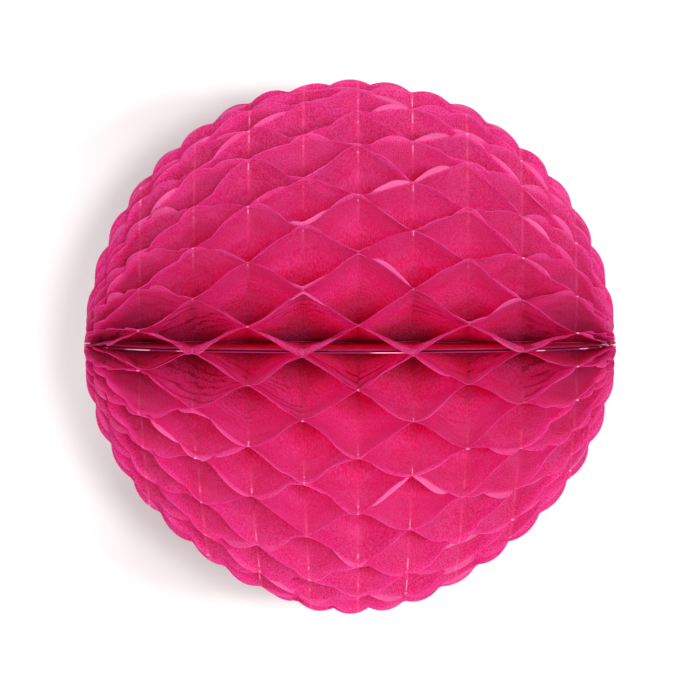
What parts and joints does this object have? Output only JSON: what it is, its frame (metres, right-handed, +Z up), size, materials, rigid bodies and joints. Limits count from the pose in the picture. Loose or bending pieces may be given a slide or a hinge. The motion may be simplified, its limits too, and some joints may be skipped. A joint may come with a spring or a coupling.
{
  "type": "paper honeycomb ball",
  "caption": "Round hanging decoration of scalloped tissue sheets glued into open diamond cells, fanned about a central spine between two folding card covers.",
  "frame": {"origin": "centre of the opened ball, on the centre line of its spine", "axes": "+X along the spine, -Y towards the seam where the two covers meet, +Z up towards the side of the upper cover"},
  "size_m": [0.2992, 0.298, 0.2989],
  "materials": {
    "tissue": "matte",
    "cover_card": "matte",
    "thread": "matte",
    "adhesive": "satin"
  },
  "bodies": {
    "core": {"cover_board_upper": "cover_card", "spine_binding": "cover_card", "spine_thread": "thread", "thread_knot_left": "thread", "thread_knot_right": "thread", "adhesive_pad_left": "adhesive", "adhesive_pad_middle": "adhesive", "adhesive_pad_right": "adhesive"},
    "lower_cover": {"cover_board_lower": "cover_card"},
    "sheet_01": {"tissue_sheet_01": "tissue"},
    "sheet_02": {"tissue_sheet_02": "tissue"},
    "sheet_03": {"tissue_sheet_03": "tissue"},
    "sheet_04": {"tissue_sheet_04": "tissue"},
    "sheet_05": {"tissue_sheet_05": "tissue"},
    "sheet_06": {"tissue_sheet_06": "tissue"},
    "sheet_07": {"tissue_sheet_07": "tissue"},
    "sheet_08": {"tissue_sheet_08": "tissue"},
    "sheet_09": {"tissue_sheet_09": "tissue"},
    "sheet_10": {"tissue_sheet_10": "tissue"},
    "sheet_11": {"tissue_sheet_11": "tissue"},
    "sheet_12": {"tissue_sheet_12": "tissue"},
    "sheet_13": {"tissue_sheet_13": "tissue"},
    "sheet_14": {"tissue_sheet_14": "tissue"},
    "sheet_15": {"tissue_sheet_15": "tissue"},
    "sheet_16": {"tissue_sheet_16": "tissue"},
    "sheet_17": {"tissue_sheet_17": "tissue"},
    "sheet_18": {"tissue_sheet_18": "tissue"},
    "sheet_19": {"tissue_sheet_19": "tissue"},
    "sheet_20": {"tissue_sheet_20": "tissue"},
    "sheet_21": {"tissue_sheet_21": "tissue"},
    "sheet_22": {"tissue_sheet_22": "tissue"},
    "sheet_23": {"tissue_sheet_23": "tissue"},
    "sheet_24": {"tissue_sheet_24": "tissue"},
    "sheet_25": {"tissue_sheet_25": "tissue"},
    "sheet_26": {"tissue_sheet_26": "tissue"},
    "sheet_27": {"tissue_sheet_27": "tissue"},
    "sheet_28": {"tissue_sheet_28": "tissue"},
    "sheet_29": {"tissue_sheet_29": "tissue"},
    "sheet_30": {"tissue_sheet_30": "tissue"},
    "sheet_31": {"tissue_sheet_31": "tissue"},
    "sheet_32": {"tissue_sheet_32": "tissue"},
    "sheet_33": {"tissue_sheet_33": "tissue"},
    "sheet_34": {"tissue_sheet_34": "tissue"},
    "sheet_35": {"tissue_sheet_35": "tissue"},
    "sheet_36": {"tissue_sheet_36": "tissue"},
    "sheet_37": {"tissue_sheet_37": "tissue"},
    "sheet_38": {"tissue_sheet_38": "tissue"},
    "sheet_39": {"tissue_sheet_39": "tissue"},
    "sheet_40": {"tissue_sheet_40": "tissue"},
    "sheet_41": {"tissue_sheet_41": "tissue"},
    "sheet_42": {"tissue_sheet_42": "tissue"},
    "sheet_43": {"tissue_sheet_43": "tissue"},
    "sheet_44": {"tissue_sheet_44": "tissue"},
    "sheet_45": {"tissue_sheet_45": "tissue"},
    "sheet_46": {"tissue_sheet_46": "tissue"},
    "sheet_47": {"tissue_sheet_47": "tissue"},
    "sheet_48": {"tissue_sheet_48": "tissue"}
  },
  "joints": [
    {"name": "fan_fold", "type": "hinge", "parent": "core", "child": "lower_cover", "pos_m": [0, 0, 0], "axis": [1, 0, 0], "range_deg": [0, 348]},
    {"name": "sheet_01_fold", "type": "hinge", "parent": "core", "child": "sheet_01", "pos_m": [0, 0, 0], "axis": [1, 0, 0], "range_deg": [0, 3.47], "deforming": ["tissue_sheet_01"]},
    {"name": "sheet_02_fold", "type": "hinge", "parent": "core", "child": "sheet_02", "pos_m": [0, 0, 0], "axis": [1, 0, 0], "range_deg": [0, 10.29], "deforming": ["tissue_sheet_02"]},
    {"name": "sheet_03_fold", "type": "hinge", "parent": "core", "child": "sheet_03", "pos_m": [0, 0, 0], "axis": [1, 0, 0], "range_deg": [0, 16.93], "deforming": ["tissue_sheet_03"]},
    {"name": "sheet_04_fold", "type": "hinge", "parent": "core", "child": "sheet_04", "pos_m": [0, 0, 0], "axis": [1, 0, 0], "range_deg": [0, 23.46], "deforming": ["tissue_sheet_04"]},
    {"name": "sheet_05_fold", "type": "hinge", "parent": "core", "child": "sheet_05", "pos_m": [0, 0, 0], "axis": [1, 0, 0], "range_deg": [0, 29.93], "deforming": ["tissue_sheet_05"]},
    {"name": "sheet_06_fold", "type": "hinge", "parent": "core", "child": "sheet_06", "pos_m": [0, 0, 0], "axis": [1, 0, 0], "range_deg": [0, 36.4], "deforming": ["tissue_sheet_06"]},
    {"name": "sheet_07_fold", "type": "hinge", "parent": "core", "child": "sheet_07", "pos_m": [0, 0, 0], "axis": [1, 0, 0], "range_deg": [0, 42.9], "deforming": ["tissue_sheet_07"]},
    {"name": "sheet_08_fold", "type": "hinge", "parent": "core", "child": "sheet_08", "pos_m": [0, 0, 0], "axis": [1, 0, 0], "range_deg": [0, 49.46], "deforming": ["tissue_sheet_08"]},
    {"name": "sheet_09_fold", "type": "hinge", "parent": "core", "child": "sheet_09", "pos_m": [0, 0, 0], "axis": [1, 0, 0], "range_deg": [0, 56.12], "deforming": ["tissue_sheet_09"]},
    {"name": "sheet_10_fold", "type": "hinge", "parent": "core", "child": "sheet_10", "pos_m": [0, 0, 0], "axis": [1, 0, 0], "range_deg": [0, 62.9], "deforming": ["tissue_sheet_10"]},
    {"name": "sheet_11_fold", "type": "hinge", "parent": "core", "child": "sheet_11", "pos_m": [0, 0, 0], "axis": [1, 0, 0], "range_deg": [0, 69.83], "deforming": ["tissue_sheet_11"]},
    {"name": "sheet_12_fold", "type": "hinge", "parent": "core", "child": "sheet_12", "pos_m": [0, 0, 0], "axis": [1, 0, 0], "range_deg": [0, 76.92], "deforming": ["tissue_sheet_12"]},
    {"name": "sheet_13_fold", "type": "hinge", "parent": "core", "child": "sheet_13", "pos_m": [0, 0, 0], "axis": [1, 0, 0], "range_deg": [0, 84.17], "deforming": ["tissue_sheet_13"]},
    {"name": "sheet_14_fold", "type": "hinge", "parent": "core", "child": "sheet_14", "pos_m": [0, 0, 0], "axis": [1, 0, 0], "range_deg": [0, 91.58], "deforming": ["tissue_sheet_14"]},
    {"name": "sheet_15_fold", "type": "hinge", "parent": "core", "child": "sheet_15", "pos_m": [0, 0, 0], "axis": [1, 0, 0], "range_deg": [0, 99.15], "deforming": ["tissue_sheet_15"]},
    {"name": "sheet_16_fold", "type": "hinge", "parent": "core", "child": "sheet_16", "pos_m": [0, 0, 0], "axis": [1, 0, 0], "range_deg": [0, 106.87], "deforming": ["tissue_sheet_16"]},
    {"name": "sheet_17_fold", "type": "hinge", "parent": "core", "child": "sheet_17", "pos_m": [0, 0, 0], "axis": [1, 0, 0], "range_deg": [0, 114.71], "deforming": ["tissue_sheet_17"]},
    {"name": "sheet_18_fold", "type": "hinge", "parent": "core", "child": "sheet_18", "pos_m": [0, 0, 0], "axis": [1, 0, 0], "range_deg": [0, 122.65], "deforming": ["tissue_sheet_18"]},
    {"name": "sheet_19_fold", "type": "hinge", "parent": "core", "child": "sheet_19", "pos_m": [0, 0, 0], "axis": [1, 0, 0], "range_deg": [0, 130.65], "deforming": ["tissue_sheet_19"]},
    {"name": "sheet_20_fold", "type": "hinge", "parent": "core", "child": "sheet_20", "pos_m": [0, 0, 0], "axis": [1, 0, 0], "range_deg": [0, 138.68], "deforming": ["tissue_sheet_20"]},
    {"name": "sheet_21_fold", "type": "hinge", "parent": "core", "child": "sheet_21", "pos_m": [0, 0, 0], "axis": [1, 0, 0], "range_deg": [0, 146.71], "deforming": ["tissue_sheet_21"]},
    {"name": "sheet_22_fold", "type": "hinge", "parent": "core", "child": "sheet_22", "pos_m": [0, 0, 0], "axis": [1, 0, 0], "range_deg": [0, 154.68], "deforming": ["tissue_sheet_22"]},
    {"name": "sheet_23_fold", "type": "hinge", "parent": "core", "child": "sheet_23", "pos_m": [0, 0, 0], "axis": [1, 0, 0], "range_deg": [0, 162.54], "deforming": ["tissue_sheet_23"]},
    {"name": "sheet_24_fold", "type": "hinge", "parent": "core", "child": "sheet_24", "pos_m": [0, 0, 0], "axis": [1, 0, 0], "range_deg": [0, 170.22], "deforming": ["tissue_sheet_24"]},
    {"name": "sheet_25_fold", "type": "hinge", "parent": "core", "child": "sheet_25", "pos_m": [0, 0, 0], "axis": [1, 0, 0], "range_deg": [0, 177.62], "deforming": ["tissue_sheet_25"]},
    {"name": "sheet_26_fold", "type": "hinge", "parent": "core", "child": "sheet_26", "pos_m": [0, 0, 0], "axis": [1, 0, 0], "range_deg": [0, 184.88], "deforming": ["tissue_sheet_26"]},
    {"name": "sheet_27_fold", "type": "hinge", "parent": "core", "child": "sheet_27", "pos_m": [0, 0, 0], "axis": [1, 0, 0], "range_deg": [0, 192.12], "deforming": ["tissue_sheet_27"]},
    {"name": "sheet_28_fold", "type": "hinge", "parent": "core", "child": "sheet_28", "pos_m": [0, 0, 0], "axis": [1, 0, 0], "range_deg": [0, 199.38], "deforming": ["tissue_sheet_28"]},
    {"name": "sheet_29_fold", "type": "hinge", "parent": "core", "child": "sheet_29", "pos_m": [0, 0, 0], "axis": [1, 0, 0], "range_deg": [0, 206.62], "deforming": ["tissue_sheet_29"]},
    {"name": "sheet_30_fold", "type": "hinge", "parent": "core", "child": "sheet_30", "pos_m": [0, 0, 0], "axis": [1, 0, 0], "range_deg": [0, 213.88], "deforming": ["tissue_sheet_30"]},
    {"name": "sheet_31_fold", "type": "hinge", "parent": "core", "child": "sheet_31", "pos_m": [0, 0, 0], "axis": [1, 0, 0], "range_deg": [0, 221.12], "deforming": ["tissue_sheet_31"]},
    {"name": "sheet_32_fold", "type": "hinge", "parent": "core", "child": "sheet_32", "pos_m": [0, 0, 0], "axis": [1, 0, 0], "range_deg": [0, 228.38], "deforming": ["tissue_sheet_32"]},
    {"name": "sheet_33_fold", "type": "hinge", "parent": "core", "child": "sheet_33", "pos_m": [0, 0, 0], "axis": [1, 0, 0], "range_deg": [0, 235.62], "deforming": ["tissue_sheet_33"]},
    {"name": "sheet_34_fold", "type": "hinge", "parent": "core", "child": "sheet_34", "pos_m": [0, 0, 0], "axis": [1, 0, 0], "range_deg": [0, 242.88], "deforming": ["tissue_sheet_34"]},
    {"name": "sheet_35_fold", "type": "hinge", "parent": "core", "child": "sheet_35", "pos_m": [0, 0, 0], "axis": [1, 0, 0], "range_deg": [0, 250.12], "deforming": ["tissue_sheet_35"]},
    {"name": "sheet_36_fold", "type": "hinge", "parent": "core", "child": "sheet_36", "pos_m": [0, 0, 0], "axis": [1, 0, 0], "range_deg": [0, 257.38], "deforming": ["tissue_sheet_36"]},
    {"name": "sheet_37_fold", "type": "hinge", "parent": "core", "child": "sheet_37", "pos_m": [0, 0, 0], "axis": [1, 0, 0], "range_deg": [0, 264.62], "deforming": ["tissue_sheet_37"]},
    {"name": "sheet_38_fold", "type": "hinge", "parent": "core", "child": "sheet_38", "pos_m": [0, 0, 0], "axis": [1, 0, 0], "range_deg": [0, 271.88], "deforming": ["tissue_sheet_38"]},
    {"name": "sheet_39_fold", "type": "hinge", "parent": "core", "child": "sheet_39", "pos_m": [0, 0, 0], "axis": [1, 0, 0], "range_deg": [0, 279.12], "deforming": ["tissue_sheet_39"]},
    {"name": "sheet_40_fold", "type": "hinge", "parent": "core", "child": "sheet_40", "pos_m": [0, 0, 0], "axis": [1, 0, 0], "range_deg": [0, 286.38], "deforming": ["tissue_sheet_40"]},
    {"name": "sheet_41_fold", "type": "hinge", "parent": "core", "child": "sheet_41", "pos_m": [0, 0, 0], "axis": [1, 0, 0], "range_deg": [0, 293.62], "deforming": ["tissue_sheet_41"]},
    {"name": "sheet_42_fold", "type": "hinge", "parent": "core", "child": "sheet_42", "pos_m": [0, 0, 0], "axis": [1, 0, 0], "range_deg": [0, 300.88], "deforming": ["tissue_sheet_42"]},
    {"name": "sheet_43_fold", "type": "hinge", "parent": "core", "child": "sheet_43", "pos_m": [0, 0, 0], "axis": [1, 0, 0], "range_deg": [0, 308.12], "deforming": ["tissue_sheet_43"]},
    {"name": "sheet_44_fold", "type": "hinge", "parent": "core", "child": "sheet_44", "pos_m": [0, 0, 0], "axis": [1, 0, 0], "range_deg": [0, 315.38], "deforming": ["tissue_sheet_44"]},
    {"name": "sheet_45_fold", "type": "hinge", "parent": "core", "child": "sheet_45", "pos_m": [0, 0, 0], "axis": [1, 0, 0], "range_deg": [0, 322.62], "deforming": ["tissue_sheet_45"]},
    {"name": "sheet_46_fold", "type": "hinge", "parent": "core", "child": "sheet_46", "pos_m": [0, 0, 0], "axis": [1, 0, 0], "range_deg": [0, 329.88], "deforming": ["tissue_sheet_46"]},
    {"name": "sheet_47_fold", "type": "hinge", "parent": "core", "child": "sheet_47", "pos_m": [0, 0, 0], "axis": [1, 0, 0], "range_deg": [0, 337.12], "deforming": ["tissue_sheet_47"]},
    {"name": "sheet_48_fold", "type": "hinge", "parent": "core", "child": "sheet_48", "pos_m": [0, 0, 0], "axis": [1, 0, 0], "range_deg": [0, 344.38], "deforming": ["tissue_sheet_48"]}
  ],
  "couplings": [
    {"joint": "sheet_01_fold", "follows": "fan_fold", "ratio": 0.0099762},
    {"joint": "sheet_02_fold", "follows": "fan_fold", "ratio": 0.02958},
    {"joint": "sheet_03_fold", "follows": "fan_fold", "ratio": 0.048643},
    {"joint": "sheet_04_fold", "follows": "fan_fold", "ratio": 0.067404},
    {"joint": "sheet_05_fold", "follows": "fan_fold", "ratio": 0.086012},
    {"joint": "sheet_06_fold", "follows": "fan_fold", "ratio": 0.10459},
    {"joint": "sheet_07_fold", "follows": "fan_fold", "ratio": 0.12326},
    {"joint": "sheet_08_fold", "follows": "fan_fold", "ratio": 0.14212},
    {"joint": "sheet_09_fold", "follows": "fan_fold", "ratio": 0.16126},
    {"joint": "sheet_10_fold", "follows": "fan_fold", "ratio": 0.18076},
    {"joint": "sheet_11_fold", "follows": "fan_fold", "ratio": 0.20066},
    {"joint": "sheet_12_fold", "follows": "fan_fold", "ratio": 0.22102},
    {"joint": "sheet_13_fold", "follows": "fan_fold", "ratio": 0.24186},
    {"joint": "sheet_14_fold", "follows": "fan_fold", "ratio": 0.26316},
    {"joint": "sheet_15_fold", "follows": "fan_fold", "ratio": 0.28492},
    {"joint": "sheet_16_fold", "follows": "fan_fold", "ratio": 0.3071},
    {"joint": "sheet_17_fold", "follows": "fan_fold", "ratio": 0.32962},
    {"joint": "sheet_18_fold", "follows": "fan_fold", "ratio": 0.35243},
    {"joint": "sheet_19_fold", "follows": "fan_fold", "ratio": 0.37543},
    {"joint": "sheet_20_fold", "follows": "fan_fold", "ratio": 0.39851},
    {"joint": "sheet_21_fold", "follows": "fan_fold", "ratio": 0.42157},
    {"joint": "sheet_22_fold", "follows": "fan_fold", "ratio": 0.44448},
    {"joint": "sheet_23_fold", "follows": "fan_fold", "ratio": 0.46708},
    {"joint": "sheet_24_fold", "follows": "fan_fold", "ratio": 0.48914},
    {"joint": "sheet_25_fold", "follows": "fan_fold", "ratio": 0.51042},
    {"joint": "sheet_26_fold", "follows": "fan_fold", "ratio": 0.53125},
    {"joint": "sheet_27_fold", "follows": "fan_fold", "ratio": 0.55208},
    {"joint": "sheet_28_fold", "follows": "fan_fold", "ratio": 0.57292},
    {"joint": "sheet_29_fold", "follows": "fan_fold", "ratio": 0.59375},
    {"joint": "sheet_30_fold", "follows": "fan_fold", "ratio": 0.61458},
    {"joint": "sheet_31_fold", "follows": "fan_fold", "ratio": 0.63542},
    {"joint": "sheet_32_fold", "follows": "fan_fold", "ratio": 0.65625},
    {"joint": "sheet_33_fold", "follows": "fan_fold", "ratio": 0.67708},
    {"joint": "sheet_34_fold", "follows": "fan_fold", "ratio": 0.69792},
    {"joint": "sheet_35_fold", "follows": "fan_fold", "ratio": 0.71875},
    {"joint": "sheet_36_fold", "follows": "fan_fold", "ratio": 0.73958},
    {"joint": "sheet_37_fold", "follows": "fan_fold", "ratio": 0.76042},
    {"joint": "sheet_38_fold", "follows": "fan_fold", "ratio": 0.78125},
    {"joint": "sheet_39_fold", "follows": "fan_fold", "ratio": 0.80208},
    {"joint": "sheet_40_fold", "follows": "fan_fold", "ratio": 0.82292},
    {"joint": "sheet_41_fold", "follows": "fan_fold", "ratio": 0.84375},
    {"joint": "sheet_42_fold", "follows": "fan_fold", "ratio": 0.86458},
    {"joint": "sheet_43_fold", "follows": "fan_fold", "ratio": 0.88542},
    {"joint": "sheet_44_fold", "follows": "fan_fold", "ratio": 0.90625},
    {"joint": "sheet_45_fold", "follows": "fan_fold", "ratio": 0.92708},
    {"joint": "sheet_46_fold", "follows": "fan_fold", "ratio": 0.94792},
    {"joint": "sheet_47_fold", "follows": "fan_fold", "ratio": 0.96875},
    {"joint": "sheet_48_fold", "follows": "fan_fold", "ratio": 0.98958}
  ]
}
